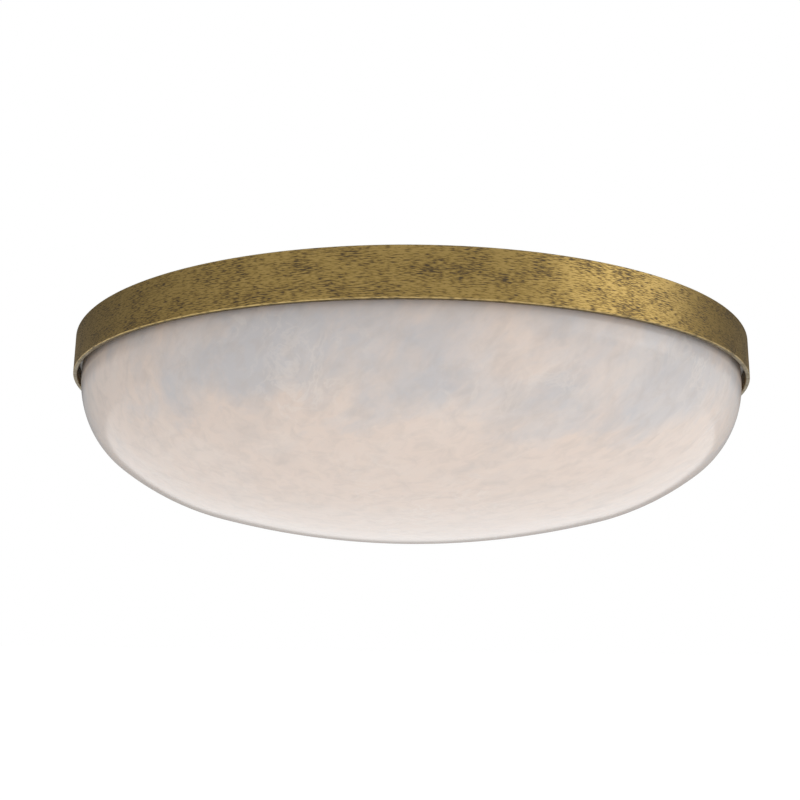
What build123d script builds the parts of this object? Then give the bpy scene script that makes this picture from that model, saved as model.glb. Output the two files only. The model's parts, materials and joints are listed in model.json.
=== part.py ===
"""Flush mount ceiling light: a brass band with a carved alabaster bowl that swings down on a hinge.

Lengths are millimetres. The ceiling is the plane Z = 0, the light hangs below it, and the origin is the
middle of the outlet box. The hinge is at -X and the catch at +X.
"""

import os
from math import asin, cos, degrees, radians, sin, sqrt

from build123d import *

# The band
band_diameter = 432
band_height = 22
band_wall = 2
band_edge_radius = 1.3
ceiling_gap = 1.5

# The bowl: below the band its curve is three tangent arcs, of flank, shoulder and base
bowl_gap = 2.3
bowl_depth = 93.7
bowl_wall = 10
bowl_tuck = 8
flank_radius_share = 0.667
flank_turn = 52.6
shoulder_turn = 23.6
rim_chamfer = 0.8

# What the bowl hangs from
gasket_thickness = 1
ring_thickness = 1.6
ring_overhang = 3.7
solder_gap = 0.05
stud_count = 6
first_stud_angle = 30
bowl_stud_radius = 2
bowl_stud_depth = 9
stud_hole_clearance = 0.1
nut_height = 3.2
nut_across_flats = 7
stud_tip = 1

# The pan
pan_sheet = 1.2
pan_depth = 14.2
pan_bend_radius = 1.5
swing_clearance = 5
flange_clearance = 6

# The bar that is screwed to the outlet box
bar_length = 116
bar_width = 32
bar_thickness = 2.5
bar_hole_radius = 8.5
box_screw_spacing = 88.9
box_slot_length = 14
box_slot_width = 4.8
mounting_stud_spacing = 46
mounting_stud_radius = 2.4
mounting_stud_length = 21
ground_screw_place = (-15.5, 9)
ground_screw_radius = 1.9

# Between pan and ceiling
pad_thickness = 6
pad_bracket_gap = 3
pad_edge_gap = 4

# Supply
bushing_bore_radius = 7.5
bushing_wall = 1.5
bushing_flange = 3
bushing_flange_thickness = 1.5
bushing_length = 4.2
block_length = 26
block_width = 14
block_height = 12
block_offset = 31
well_radius = 1.75
well_depth = 3
block_screw_radius = 1.5
lead_radius = 1.1
lead_spread = 6
lead_end_depth = 3
lead_drop = 21
lead_gap = 0.1

# Lamp holders
lamp_angles = (90, 210, 330)
lamp_drop = 48
bracket_sheet = 1.5
bracket_stud_gap = 4
bracket_foot_width = 26
bracket_plate_width = 34
bracket_plate_below = 17
bracket_reach = 45
socket_radius = 20
socket_back_radius = 18
socket_back_length = 12
socket_length = 40
socket_floor = 8
socket_bore_radius = 14
shell_thickness = 0.5
shell_gap = 0.1
shell_length = 27
contact_radius = 4
contact_thickness = 1.6
socket_screw_spread = 9
socket_screw_radius = 1.5
bracket_rivet_spread = 8

# Lamps
cap_radius = 12.9
cap_length = 24
lamp_foot_length = 4
lamp_foot_radius = 8
lamp_button_radius = 3.2
lamp_button_height = 1
lamp_seat_gap = 0.4
bulb_radius = 24
bulb_neck_radius = 12.6
bulb_neck_length = 37
bulb_glass = 1

# Hinge
hinge_pin_radius = 1.5
hinge_running_gap = 0.05
hinge_sheet = 1.6
hinge_band_gap = 0.75
strap_width = 16
strap_wall_gap = 3
strap_rivet_spread = 8
knuckle_side_gap = 0.4
outer_knuckle_length = 9
leaf_drop = 20
leaf_gap_below_knuckle = 0.5
leaf_rivet_inset = 2.6
upper_leaf_rivet_spread = 8
lower_leaf_rivet_spread = 24
notch_side_gap = 1
notch_depth_gap = 0.6
pin_head_radius = 2.3
pin_head_thickness = 0.8
pin_end_gap = 0.2

# Catch
catch_drop = 7.5
catch_travel = 10
bolt_height = 4
bolt_thickness = 2
bolt_band_distance = 5.8
bolt_ahead = 20
bolt_behind = 20
bolt_end_gap = 1
guide_sheet = 1.1
guide_width = 5
guide_ahead = 3.6
guide_behind = 14
running_gap = 0.3
keeper_sheet = 1.2
keeper_width = 9
keeper_leg_gap = 4
keeper_wall_gap = 2.2
keeper_foot_overhang = 1
keeper_rivet_spread = 5.2
shank_width = 3.2
shank_height = 3
shank_shoulder_width = 5
shoulder_gap = 0.7
slot_gap = 0.3
thumb_length = 12
thumb_height = 9
thumb_thickness = 4.6
thumb_corner = 1.2
thumb_rib_pitch = 2.4
thumb_rib_depth = 0.6
thumb_rib_width = 1
catch_screw_radius = 1.2
catch_screw_head = 2.2
catch_screw_depth = 5

# Rivets
rivet_radius = 1.5
rivet_head_radius = 2.3
rivet_head_tip = 1.7
rivet_head_height = 1.3
rivet_gap = 0.05

# Radii worked out from the driving dimensions
band_outer = band_diameter / 2
band_inner = band_outer - band_wall
bowl_radius = band_inner - bowl_gap
bowl_inner = bowl_radius - bowl_wall
rim_middle = (bowl_radius + bowl_inner) / 2
ring_inner = bowl_inner - ring_overhang
ring_outer = band_inner - solder_gap
pan_wall_outer = ring_inner - swing_clearance
pan_flange_radius = band_inner - flange_clearance

# Heights, from the ceiling down
band_top = -ceiling_gap
band_bottom = band_top - band_height
rim_top = band_bottom + bowl_tuck
gasket_top = rim_top + gasket_thickness
ring_top = gasket_top + ring_thickness
pan_floor_top = -(pan_depth - pan_sheet)
pan_floor_bottom = -pan_depth
lamp_height = -lamp_drop
catch_height = -catch_drop
keeper_foot_top = catch_height - bolt_height / 2 - running_gap

# The hinge pin's place
knuckle_bore = hinge_pin_radius + hinge_running_gap
knuckle_radius = knuckle_bore + hinge_sheet
hinge_x = -(band_outer + hinge_band_gap + knuckle_radius)
hinge_z = -pan_sheet - knuckle_radius
strap_bottom = -pan_sheet - hinge_sheet
outer_knuckle_start = strap_width / 2 + knuckle_side_gap
outer_knuckle_end = outer_knuckle_start + outer_knuckle_length
leaf_top = hinge_z - knuckle_radius - leaf_gap_below_knuckle
leaf_bottom = -leaf_drop

# The catch bolt's place
bolt_outer = band_inner - bolt_band_distance + bolt_thickness
bolt_inner = bolt_outer - bolt_thickness
keeper_start = bolt_ahead - catch_travel + bolt_end_gap
keeper_tab_start = pan_wall_outer + keeper_wall_gap
keeper_leg = bolt_inner - keeper_leg_gap - keeper_sheet
thumb_inner = band_outer + running_gap

# Rivet places
strap_rivets_at = [
    (-(pan_flange_radius - inboard), side)
    for inboard in (3.2, 8.2)
    for side in (-strap_rivet_spread / 2, strap_rivet_spread / 2)
]
keeper_rivets_at = [
    ((keeper_tab_start + keeper_leg) / 2, keeper_start + (keeper_width + side) / 2)
    for side in (-keeper_rivet_spread, keeper_rivet_spread)
]
leaf_rivets_at = [
    (turn * spread / 2, height)
    for turn in (-1, 1)
    for spread, height in (
        (upper_leaf_rivet_spread, leaf_top - leaf_rivet_inset),
        (lower_leaf_rivet_spread, leaf_bottom + leaf_rivet_inset),
    )
]
mounting_studs_at = [(-mounting_stud_spacing / 2, 0), (mounting_stud_spacing / 2, 0)]
bracket_foot = bracket_reach - bracket_sheet - (mounting_stud_spacing / 2 + bracket_stud_gap)
bracket_foot_middle = bracket_reach - bracket_sheet - bracket_foot / 2
pad_inner_radius = bracket_reach + pad_bracket_gap

# Where the leads of the lamp holders would go: the holes for them, in the porcelain and the block
lead_height = -lead_drop
lead_start = bracket_reach + socket_back_length / 2
lead_end_height = lamp_height + sqrt(socket_back_radius**2 - lead_spread**2) - lead_end_depth
block_end = block_length / 2 - lead_end_depth
block_front = block_offset - block_width / 2
block_near = block_offset - block_width / 4
block_far = block_offset + block_width / 4

os.makedirs("parts", exist_ok=True)


def save(piece, label):
    """Label a finished piece and write its file."""
    piece.part.label = label
    export_step(piece.part, f"parts/{label}.step")


def side_plane(angle, height=0.0):
    """The upright plane through the middle: its X points outwards at the angle, its Y points up."""
    turn = radians(angle)
    return Plane(
        origin=(0, 0, height),
        x_dir=(cos(turn), sin(turn), 0),
        z_dir=(sin(turn), -cos(turn), 0),
    )


def out_axis(angle, height):
    """The level line that points outwards at the angle."""
    turn = radians(angle)
    return Axis(origin=(0, 0, height), direction=(cos(turn), sin(turn), 0))


def place(angle, out, side, height):
    """A point so far outwards at the angle, so far to its left, at the height."""
    turn = radians(angle)
    return Vector(out * cos(turn) - side * sin(turn), out * sin(turn) + side * cos(turn), height)


def facing_out(angle, out, height, side=0.0):
    """A plane across the level line at the angle, with its normal pointing outwards."""
    turn = radians(angle)
    return Plane(
        origin=place(angle, out, side, height),
        x_dir=(-sin(turn), cos(turn), 0),
        z_dir=(cos(turn), sin(turn), 0),
    )


def bowl_arcs():
    """The radius and the lower end of each arc of the bowl, which starts upright and ends level.

    The flank's radius follows from the depth; the other two close the curve on the axis at that depth.
    """
    cos1, sin1 = cos(radians(flank_turn)), sin(radians(flank_turn))
    cos2, sin2 = cos(radians(flank_turn + shoulder_turn)), sin(radians(flank_turn + shoulder_turn))
    flank = flank_radius_share * bowl_depth
    out = bowl_radius - flank * (1 - cos1)
    down = bowl_depth - flank * sin1
    spread = (cos1 - cos2) * (1 - sin2) - cos2 * (sin2 - sin1)
    shoulder = (out * (1 - sin2) - down * cos2) / spread
    base = (down * (cos1 - cos2) - out * (sin2 - sin1)) / spread
    first = (out, band_bottom - flank * sin1, cos1, sin1)
    second = (base * cos2, band_bottom - bowl_depth + base * (1 - sin2), cos2, sin2)
    return [(flank, *first), (shoulder, *second), (base, 0, band_bottom - bowl_depth, 0, 1)]


# The brass band, with a notch over the hinge strap and a slot for the catch
with BuildPart() as band:
    with BuildSketch(Plane.XZ):
        with Locations((band_outer - band_wall / 2, (band_top + band_bottom) / 2)):
            Rectangle(band_wall, band_height)
        fillet(vertices().group_by(Axis.Y)[0].sort_by(Axis.X)[-1], band_edge_radius)
        fillet(vertices().group_by(Axis.Y)[0].sort_by(Axis.X)[0], band_edge_radius / 3)
    revolve(axis=Axis.Z)
    notch_bottom = strap_bottom - notch_depth_gap
    with Locations((-band_outer, 0, (notch_bottom + band_top) / 2)):
        Box(
            6 * band_wall,
            strap_width + 2 * notch_side_gap,
            band_top - notch_bottom,
            mode=Mode.SUBTRACT,
        )
    slot_height = shank_height + 2 * slot_gap
    slot_length = catch_travel + shank_width + 2 * slot_gap
    with BuildSketch(Plane.YZ.offset(band_inner - band_wall)):
        with Locations((-catch_travel / 2, catch_height)):
            RectangleRounded(slot_length, slot_height, 0.4)
    extrude(amount=3 * band_wall, mode=Mode.SUBTRACT)
    with BuildSketch(Plane.YZ.offset(-band_outer - band_wall)):
        with Locations(*leaf_rivets_at):
            Circle(rivet_radius + rivet_gap)
    extrude(amount=3 * band_wall, mode=Mode.SUBTRACT)
save(band, "band")

# The alabaster bowl, carved from one block, with blind holes in its rim for the studs
with BuildPart() as alabaster_bowl:
    with BuildSketch(Plane.XZ):
        with BuildLine():
            ends = []
            for wall in (0, bowl_wall):
                above = (bowl_radius - wall, band_bottom)
                ends.append(above)
                for radius, out, height, level, upright in bowl_arcs():
                    below = (out - wall * level, height + wall * upright)
                    RadiusArc(above, below, radius - wall)
                    above = below
                ends.append(above)
            Polyline(ends[0], (ends[0][0], rim_top), (ends[2][0], rim_top), ends[2])
            Line(ends[1], ends[3])
        make_face()
        chamfer(vertices().group_by(Axis.Y)[-1], rim_chamfer)
    revolve(axis=Axis.Z)
    with BuildSketch(Plane.XY.offset(rim_top)):
        with PolarLocations(rim_middle, stud_count, first_stud_angle):
            Circle(bowl_stud_radius + stud_hole_clearance)
    extrude(amount=-bowl_stud_depth - running_gap, mode=Mode.SUBTRACT)
save(alabaster_bowl, "alabaster_bowl")

# The soft gasket on the rim, inside the chamfers
with BuildPart() as rim_gasket:
    with BuildSketch(Plane.XY.offset(rim_top)):
        Circle(bowl_radius - rim_chamfer)
        Circle(bowl_inner + rim_chamfer, mode=Mode.SUBTRACT)
        with PolarLocations(rim_middle, stud_count, first_stud_angle):
            Circle(bowl_stud_radius + stud_hole_clearance, mode=Mode.SUBTRACT)
    extrude(amount=gasket_thickness)
save(rim_gasket, "rim_gasket")

# The steel ring that is soldered into the band and carries the bowl
with BuildPart() as carrier_ring:
    with BuildSketch(Plane.XY.offset(gasket_top)):
        Circle(ring_outer)
        Circle(ring_inner, mode=Mode.SUBTRACT)
        with PolarLocations(rim_middle, stud_count, first_stud_angle):
            Circle(bowl_stud_radius + stud_hole_clearance, mode=Mode.SUBTRACT)
    extrude(amount=ring_thickness)
save(carrier_ring, "carrier_ring")

# Six studs bonded into the rim
with BuildPart() as bowl_studs:
    with BuildSketch(Plane.XY.offset(rim_top - bowl_stud_depth)):
        with PolarLocations(rim_middle, stud_count, first_stud_angle):
            Circle(bowl_stud_radius)
    extrude(amount=ring_top + nut_height + stud_tip - (rim_top - bowl_stud_depth))
save(bowl_studs, "bowl_studs")

# Their nuts, on the ring
with BuildPart() as stud_nuts:
    with BuildSketch(Plane.XY.offset(ring_top)):
        with PolarLocations(rim_middle, stud_count, first_stud_angle):
            RegularPolygon(nut_across_flats / 2, 6, major_radius=False)
            Circle(bowl_stud_radius + rivet_gap, mode=Mode.SUBTRACT)
    extrude(amount=nut_height)
save(stud_nuts, "stud_nuts")

# The ceiling pan: a flange against the ceiling, a short wall and a floor
with BuildPart() as ceiling_pan:
    with BuildSketch(Plane.XZ):
        with BuildLine():
            Polyline(
                (0, pan_floor_bottom),
                (pan_wall_outer, pan_floor_bottom),
                (pan_wall_outer, -pan_sheet),
                (pan_flange_radius, -pan_sheet),
                (pan_flange_radius, 0),
                (pan_wall_outer - pan_sheet, 0),
                (pan_wall_outer - pan_sheet, pan_floor_top),
                (0, pan_floor_top),
                close=True,
            )
        make_face()
        wall_corners = vertices().filter_by_position(Axis.X, pan_wall_outer - 0.1, pan_wall_outer + 0.1)
        fillet(wall_corners.sort_by(Axis.Y)[0], pan_bend_radius)
    revolve(axis=Axis.Z)
    with BuildSketch(Plane.XY.offset(pan_floor_bottom)):
        Circle(bushing_bore_radius + bushing_wall)
        with Locations(*mounting_studs_at):
            Circle(mounting_stud_radius + running_gap)
        for angle in lamp_angles:
            for side in (-bracket_rivet_spread, bracket_rivet_spread):
                with Locations(place(angle, bracket_foot_middle, side, 0)):
                    Circle(rivet_radius + rivet_gap)
        with Locations(*strap_rivets_at, *keeper_rivets_at):
            Circle(rivet_radius + rivet_gap)
        with Locations((0, -block_offset)):
            Circle(block_screw_radius + rivet_gap)
    extrude(amount=pan_depth, mode=Mode.SUBTRACT)
save(ceiling_pan, "ceiling_pan")

# The heat pad that lies on the pan's floor
with BuildPart() as insulation_pad:
    with BuildSketch(Plane.XY.offset(pan_floor_top)):
        Circle(pan_wall_outer - pan_sheet - pad_edge_gap)
        Circle(pad_inner_radius, mode=Mode.SUBTRACT)
    extrude(amount=pad_thickness)
save(insulation_pad, "insulation_pad")

# The bar that is screwed to the outlet box
with BuildPart() as mounting_crossbar:
    with BuildSketch(Plane.XY.offset(-bar_thickness)):
        RectangleRounded(bar_length, bar_width, bar_width / 4)
        Circle(bar_hole_radius, mode=Mode.SUBTRACT)
        with Locations((-box_screw_spacing / 2, 0), (box_screw_spacing / 2, 0)):
            SlotOverall(box_slot_length, box_slot_width, mode=Mode.SUBTRACT)
        with Locations(*mounting_studs_at):
            Circle(mounting_stud_radius + rivet_gap, mode=Mode.SUBTRACT)
        with Locations(ground_screw_place):
            Circle(ground_screw_radius + rivet_gap, mode=Mode.SUBTRACT)
    extrude(amount=bar_thickness)
save(mounting_crossbar, "mounting_crossbar")

# The two studs that the pan hangs on
with BuildPart() as mounting_studs:
    with BuildSketch(Plane.XY.offset(-mounting_stud_length)):
        with Locations(*mounting_studs_at):
            Circle(mounting_stud_radius)
    extrude(amount=mounting_stud_length)
save(mounting_studs, "mounting_studs")

# The green grounding screw
with BuildPart() as ground_screw:
    with BuildSketch(Plane.XY.offset(-bar_thickness)):
        with Locations(ground_screw_place):
            Circle(ground_screw_radius)
    extrude(amount=bar_thickness)
    with BuildSketch(Plane.XY.offset(-bar_thickness)):
        with Locations(ground_screw_place):
            RegularPolygon(2 * ground_screw_radius, 6, major_radius=False)
    extrude(amount=-1.3 * ground_screw_radius)
save(ground_screw, "ground_screw")

# The domed nuts under the pan
with BuildPart() as cap_nuts:
    nut_flat_height = 2 * mounting_stud_radius
    dome_radius = 1.8 * mounting_stud_radius
    with BuildSketch(Plane.XY.offset(pan_floor_bottom)):
        with Locations(*mounting_studs_at):
            RegularPolygon(2 * mounting_stud_radius, 6, major_radius=False)
    extrude(amount=-nut_flat_height)
    for spot in mounting_studs_at:
        with Locations((*spot, pan_floor_bottom - nut_flat_height)):
            Sphere(dome_radius, arc_size1=-90, arc_size2=0)
    with BuildSketch(Plane.XY.offset(pan_floor_bottom)):
        with Locations(*mounting_studs_at):
            Circle(mounting_stud_radius + rivet_gap)
    extrude(amount=-(mounting_stud_length - pan_depth) - running_gap, mode=Mode.SUBTRACT)
save(cap_nuts, "cap_nuts")

# The snap bushing for the supply wires
with BuildPart() as wire_bushing:
    with BuildSketch(Plane.XZ):
        with BuildLine():
            barrel = bushing_bore_radius + bushing_wall - rivet_gap
            flange_bottom = pan_floor_bottom - bushing_flange_thickness
            Polyline(
                (bushing_bore_radius, flange_bottom),
                (barrel + bushing_flange, flange_bottom),
                (barrel + bushing_flange, pan_floor_bottom),
                (barrel, pan_floor_bottom),
                (barrel, flange_bottom + bushing_length),
                (bushing_bore_radius, flange_bottom + bushing_length),
                close=True,
            )
        make_face()
    revolve(axis=Axis.Z)
save(wire_bushing, "wire_bushing")

# The terminal block, with screw wells below and a hole for each lead
with BuildPart() as terminal_block:
    block_bottom = pan_floor_bottom - block_height
    with Locations((0, -block_offset, pan_floor_bottom - block_height / 2)):
        Box(block_length, block_width, block_height)
    fillet(edges().filter_by(Axis.Z), block_width / 8)
    with BuildSketch(Plane.XY.offset(block_bottom)):
        with Locations((0, -block_offset)):
            with GridLocations(block_end + lead_spread, block_width / 2, 2, 2):
                Circle(well_radius)
            Circle(2 * block_screw_radius)
    extrude(amount=well_depth, mode=Mode.SUBTRACT)
    with BuildSketch(Plane.XY.offset(block_bottom)):
        with Locations((0, -block_offset)):
            Circle(block_screw_radius + rivet_gap)
    extrude(amount=block_height, mode=Mode.SUBTRACT)
    with BuildSketch(Plane.XZ.offset(block_front)):
        with Locations((-lead_spread - 1, lead_height), (lead_spread + 1, lead_height)):
            Circle(lead_radius + lead_gap)
    extrude(amount=lead_end_depth + lead_gap, mode=Mode.SUBTRACT)
    for side in (-1, 1):
        with BuildSketch(Plane.YZ.offset(side * block_length / 2)):
            with Locations((-block_near, lead_height), (-block_far, lead_height)):
                Circle(lead_radius + lead_gap)
        extrude(amount=-side * (lead_end_depth + lead_gap), mode=Mode.SUBTRACT)
save(terminal_block, "terminal_block")

# The clamping screws in the wells
with BuildPart() as terminal_screws:
    with BuildSketch(Plane.XY.offset(block_bottom + well_depth)):
        with Locations((0, -block_offset)):
            with GridLocations(block_end + lead_spread, block_width / 2, 2, 2):
                Circle(well_radius - rivet_gap)
    extrude(amount=-well_depth / 2)
save(terminal_screws, "terminal_screws")

# The screw that holds the block under the pan
with BuildPart() as block_screw:
    with BuildSketch(Plane.XY.offset(block_bottom + well_depth)):
        with Locations((0, -block_offset)):
            Circle(block_screw_radius)
    extrude(amount=block_height - well_depth + 2 * pan_sheet)
    with BuildSketch(Plane.XY.offset(block_bottom + well_depth)):
        with Locations((0, -block_offset)):
            Circle(2 * block_screw_radius - running_gap)
    extrude(amount=-well_depth / 2)
save(block_screw, "block_screw")

# The three lamp holders
for number, angle in enumerate(lamp_angles, 1):
    # A bent bracket: the foot lies under the pan, the plate holds the porcelain
    with BuildPart() as bracket:
        with BuildSketch(side_plane(angle)):
            with BuildLine():
                plate_bottom = lamp_height - bracket_plate_below
                Polyline(
                    (bracket_reach, pan_floor_bottom),
                    (bracket_reach - bracket_sheet - bracket_foot, pan_floor_bottom),
                    (bracket_reach - bracket_sheet - bracket_foot, pan_floor_bottom - bracket_sheet),
                    (bracket_reach - bracket_sheet, pan_floor_bottom - bracket_sheet),
                    (bracket_reach - bracket_sheet, plate_bottom),
                    (bracket_reach, plate_bottom),
                    close=True,
                )
            make_face()
        extrude(amount=bracket_plate_width / 2, both=True)
        with BuildSketch(facing_out(angle, 0, 0)):
            wide_half = (bracket_plate_width + bracket_foot_width) / 4
            with Locations((wide_half, pan_floor_bottom), (-wide_half, pan_floor_bottom)):
                Rectangle((bracket_plate_width - bracket_foot_width) / 2, 4 * bracket_sheet)
            with Locations((-lead_spread, lead_height), (lead_spread, lead_height)):
                Circle(2 * lead_radius)
            with Locations((-socket_screw_spread, lamp_height), (socket_screw_spread, lamp_height)):
                Circle(socket_screw_radius + rivet_gap)
        extrude(amount=bracket_reach, mode=Mode.SUBTRACT)
        with BuildSketch(Plane.XY.offset(pan_floor_bottom)):
            for side in (-bracket_rivet_spread, bracket_rivet_spread):
                with Locations(place(angle, bracket_foot_middle, side, 0)):
                    Circle(rivet_radius + rivet_gap)
        extrude(amount=-2 * bracket_sheet, mode=Mode.SUBTRACT)
    save(bracket, f"socket_bracket_{number}")

    # The porcelain body, with a waist at its back
    with BuildPart() as socket:
        with BuildSketch(side_plane(angle, lamp_height)):
            with BuildLine():
                socket_front = bracket_reach + socket_length
                step_at = bracket_reach + socket_back_length
                Polyline(
                    (bracket_reach, 0),
                    (bracket_reach, socket_back_radius),
                    (step_at, socket_back_radius),
                    (step_at, socket_radius),
                    (socket_front, socket_radius),
                    (socket_front, socket_bore_radius),
                    (bracket_reach + socket_floor, socket_bore_radius),
                    (bracket_reach + socket_floor, 0),
                    close=True,
                )
            make_face()
            fillet(vertices().group_by(Axis.Y)[-1], 1)
        revolve(axis=out_axis(angle, lamp_height))
        with BuildSketch(facing_out(angle, bracket_reach, lamp_height)):
            with Locations((-socket_screw_spread, 0), (socket_screw_spread, 0)):
                Circle(socket_screw_radius + rivet_gap)
        extrude(amount=socket_floor - 2, mode=Mode.SUBTRACT)
        with BuildSketch(Plane.XY.offset(lead_end_height)):
            for side in (-lead_spread, lead_spread):
                with Locations(place(angle, lead_start, side, 0)):
                    Circle(lead_radius + lead_gap)
        extrude(amount=2 * lead_end_depth, mode=Mode.SUBTRACT)
    save(socket, f"socket_{number}")

    # The metal shell that the lamp screws into
    with BuildPart() as shell:
        with BuildSketch(facing_out(angle, socket_front - 2, lamp_height)):
            Circle(socket_bore_radius - shell_gap)
            Circle(socket_bore_radius - shell_gap - shell_thickness, mode=Mode.SUBTRACT)
        extrude(amount=-shell_length)
    save(shell, f"screw_shell_{number}")

    # The contact at the bottom of the holder
    with BuildPart() as contact:
        with BuildSketch(facing_out(angle, bracket_reach + socket_floor, lamp_height)):
            Circle(contact_radius)
        extrude(amount=contact_thickness)
        fillet(edges().sort_by(out_axis(angle, lamp_height))[-1], contact_thickness / 2)
    save(contact, f"centre_contact_{number}")

    # The lamp's cap, with its insulator and button
    with BuildPart() as lamp_cap:
        with BuildSketch(side_plane(angle, lamp_height)):
            with BuildLine():
                button = bracket_reach + socket_floor + contact_thickness + lamp_seat_gap
                foot = button + lamp_button_height
                cap_start = foot + lamp_foot_length
                cap_end = cap_start + cap_length
                Polyline(
                    (button, 0),
                    (button, lamp_button_radius),
                    (foot, lamp_button_radius),
                    (foot, lamp_foot_radius),
                    (cap_start, cap_radius),
                    (cap_end, cap_radius),
                    (cap_end, 0),
                    close=True,
                )
            make_face()
        revolve(axis=out_axis(angle, lamp_height))
    save(lamp_cap, f"lamp_cap_{number}")

    # The frosted glass
    with BuildPart() as lamp_glass:
        with BuildSketch(side_plane(angle, lamp_height)):
            with BuildLine():
                middle = cap_end + bulb_neck_length
                swell = bulb_radius - bulb_neck_radius
                flank = (bulb_neck_length**2 + swell**2) / (2 * swell)
                flare = degrees(asin(bulb_neck_length / flank))
                for glass in (0, bulb_glass):
                    CenterArc((middle, bulb_radius - flank), flank - glass, 90, flare)
                    CenterArc((middle, 0), bulb_radius - glass, 0, 90)
                Line((middle + bulb_radius, 0), (middle + bulb_radius - bulb_glass, 0))
                slant = bulb_glass * bulb_neck_length / flank
                drop = bulb_glass * (flank - swell) / flank
                Line((cap_end, bulb_neck_radius), (cap_end + slant, bulb_neck_radius - drop))
            make_face()
        revolve(axis=out_axis(angle, lamp_height))
    save(lamp_glass, f"lamp_glass_{number}")

# The screws that hold the porcelain on the brackets
with BuildPart() as socket_screws:
    for angle in lamp_angles:
        with BuildSketch(facing_out(angle, bracket_reach - bracket_sheet, lamp_height)):
            with Locations((-socket_screw_spread, 0), (socket_screw_spread, 0)):
                Circle(socket_screw_radius)
        extrude(amount=bracket_sheet + socket_floor - 3)
        with BuildSketch(facing_out(angle, bracket_reach - bracket_sheet, lamp_height)):
            with Locations((-socket_screw_spread, 0), (socket_screw_spread, 0)):
                Circle(1.8 * socket_screw_radius)
        extrude(amount=-socket_screw_radius)
save(socket_screws, "socket_screws")


def rivets(label, spots, top, bottom, head_above):
    """Upright rivets from top to bottom, with a tapered head below and, if asked, a flat one above."""
    from_below = (Align.CENTER, Align.CENTER, Align.MIN)
    from_above = (Align.CENTER, Align.CENTER, Align.MAX)
    with BuildPart() as row:
        for x, y in spots:
            with Locations((x, y, bottom)):
                Cylinder(rivet_radius, top - bottom, align=from_below)
                Cone(rivet_head_tip, rivet_head_radius, rivet_head_height, align=from_above)
            if head_above:
                with Locations((x, y, top)):
                    Cylinder(rivet_head_radius, rivet_head_height / 2, align=from_below)
    save(row, label)


# The rivets of the three brackets, of the hinge strap and of the keeper; the last two are flush on top
bracket_rivets_at = [
    (place(angle, bracket_foot_middle, side, 0).X, place(angle, bracket_foot_middle, side, 0).Y)
    for angle in lamp_angles
    for side in (-bracket_rivet_spread, bracket_rivet_spread)
]
rivets("bracket_rivets", bracket_rivets_at, pan_floor_top, pan_floor_bottom - bracket_sheet, True)
rivets("strap_rivets", strap_rivets_at, 0, strap_bottom, False)
rivets("keeper_rivets", keeper_rivets_at, 0, -pan_sheet - keeper_sheet, False)


# The fixed half of the hinge: a strap over the band that ends in the middle knuckle
with BuildPart() as hinge_strap:
    with BuildSketch(Plane.XZ):
        strap_start = -(pan_wall_outer + strap_wall_gap)
        with Locations(((hinge_x + strap_start) / 2, -pan_sheet - hinge_sheet / 2)):
            Rectangle(strap_start - hinge_x, hinge_sheet)
        with Locations((hinge_x, hinge_z)):
            Circle(knuckle_radius)
            Circle(knuckle_bore, mode=Mode.SUBTRACT)
    extrude(amount=strap_width / 2, both=True)
    with BuildSketch(Plane.XY.offset(-pan_sheet)):
        with Locations(*strap_rivets_at):
            Circle(rivet_radius + rivet_gap)
    extrude(amount=-2 * hinge_sheet, mode=Mode.SUBTRACT)
save(hinge_strap, "hinge_strap")

# The moving half: a plate bent to the band's curve, with the two outer knuckles
with BuildPart() as hinge_leaf:
    with BuildSketch(Plane.XY.offset(leaf_bottom)):
        Circle(band_outer + hinge_sheet)
        Circle(band_outer + solder_gap, mode=Mode.SUBTRACT)
        with Locations((-band_outer, 0)):
            Rectangle(8 * hinge_sheet, 2 * outer_knuckle_end, mode=Mode.INTERSECT)
    extrude(amount=leaf_top - leaf_bottom)
    for side in (-1, 1):
        with BuildSketch(Plane.XZ.offset(-side * outer_knuckle_start)):
            with Locations((hinge_x, hinge_z)):
                Circle(knuckle_radius)
            with Locations((-band_outer - hinge_sheet / 2 - 2 * solder_gap, (hinge_z + leaf_top) / 2 - 1)):
                Rectangle(hinge_sheet, hinge_z - leaf_top + 2)
        extrude(amount=-side * outer_knuckle_length)
    with BuildSketch(Plane.XZ):
        with Locations((hinge_x, hinge_z)):
            Circle(knuckle_bore)
    extrude(amount=2 * outer_knuckle_end, both=True, mode=Mode.SUBTRACT)
    with BuildSketch(Plane.YZ.offset(-band_outer - 2 * hinge_sheet)):
        with Locations(*leaf_rivets_at):
            Circle(rivet_radius + rivet_gap)
    extrude(amount=4 * hinge_sheet, mode=Mode.SUBTRACT)
save(hinge_leaf, "hinge_leaf")

# The rivets through the leaf and the band, each seated on the round faces
with BuildPart() as leaf_rivets:
    inner_head_radius = 1.2 * rivet_radius
    for side, height in leaf_rivets_at:
        near_edge = abs(side) - rivet_head_radius
        far_edge = abs(side) + inner_head_radius
        outside_face = -sqrt((band_outer + hinge_sheet) ** 2 - near_edge**2) - rivet_gap
        inside_face = rivet_gap - sqrt(band_inner**2 - far_edge**2)
        along_x = (0, 90, 0)
        inward = (Align.CENTER, Align.CENTER, Align.MIN)
        outward = (Align.CENTER, Align.CENTER, Align.MAX)
        with Locations((outside_face, side, height)):
            Cylinder(rivet_radius, inside_face - outside_face, rotation=along_x, align=inward)
            Cone(rivet_head_tip, rivet_head_radius, rivet_head_height, rotation=along_x, align=outward)
        with Locations((inside_face, side, height)):
            Cylinder(inner_head_radius, rivet_head_height / 2, rotation=along_x, align=inward)
save(leaf_rivets, "leaf_rivets")

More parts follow.
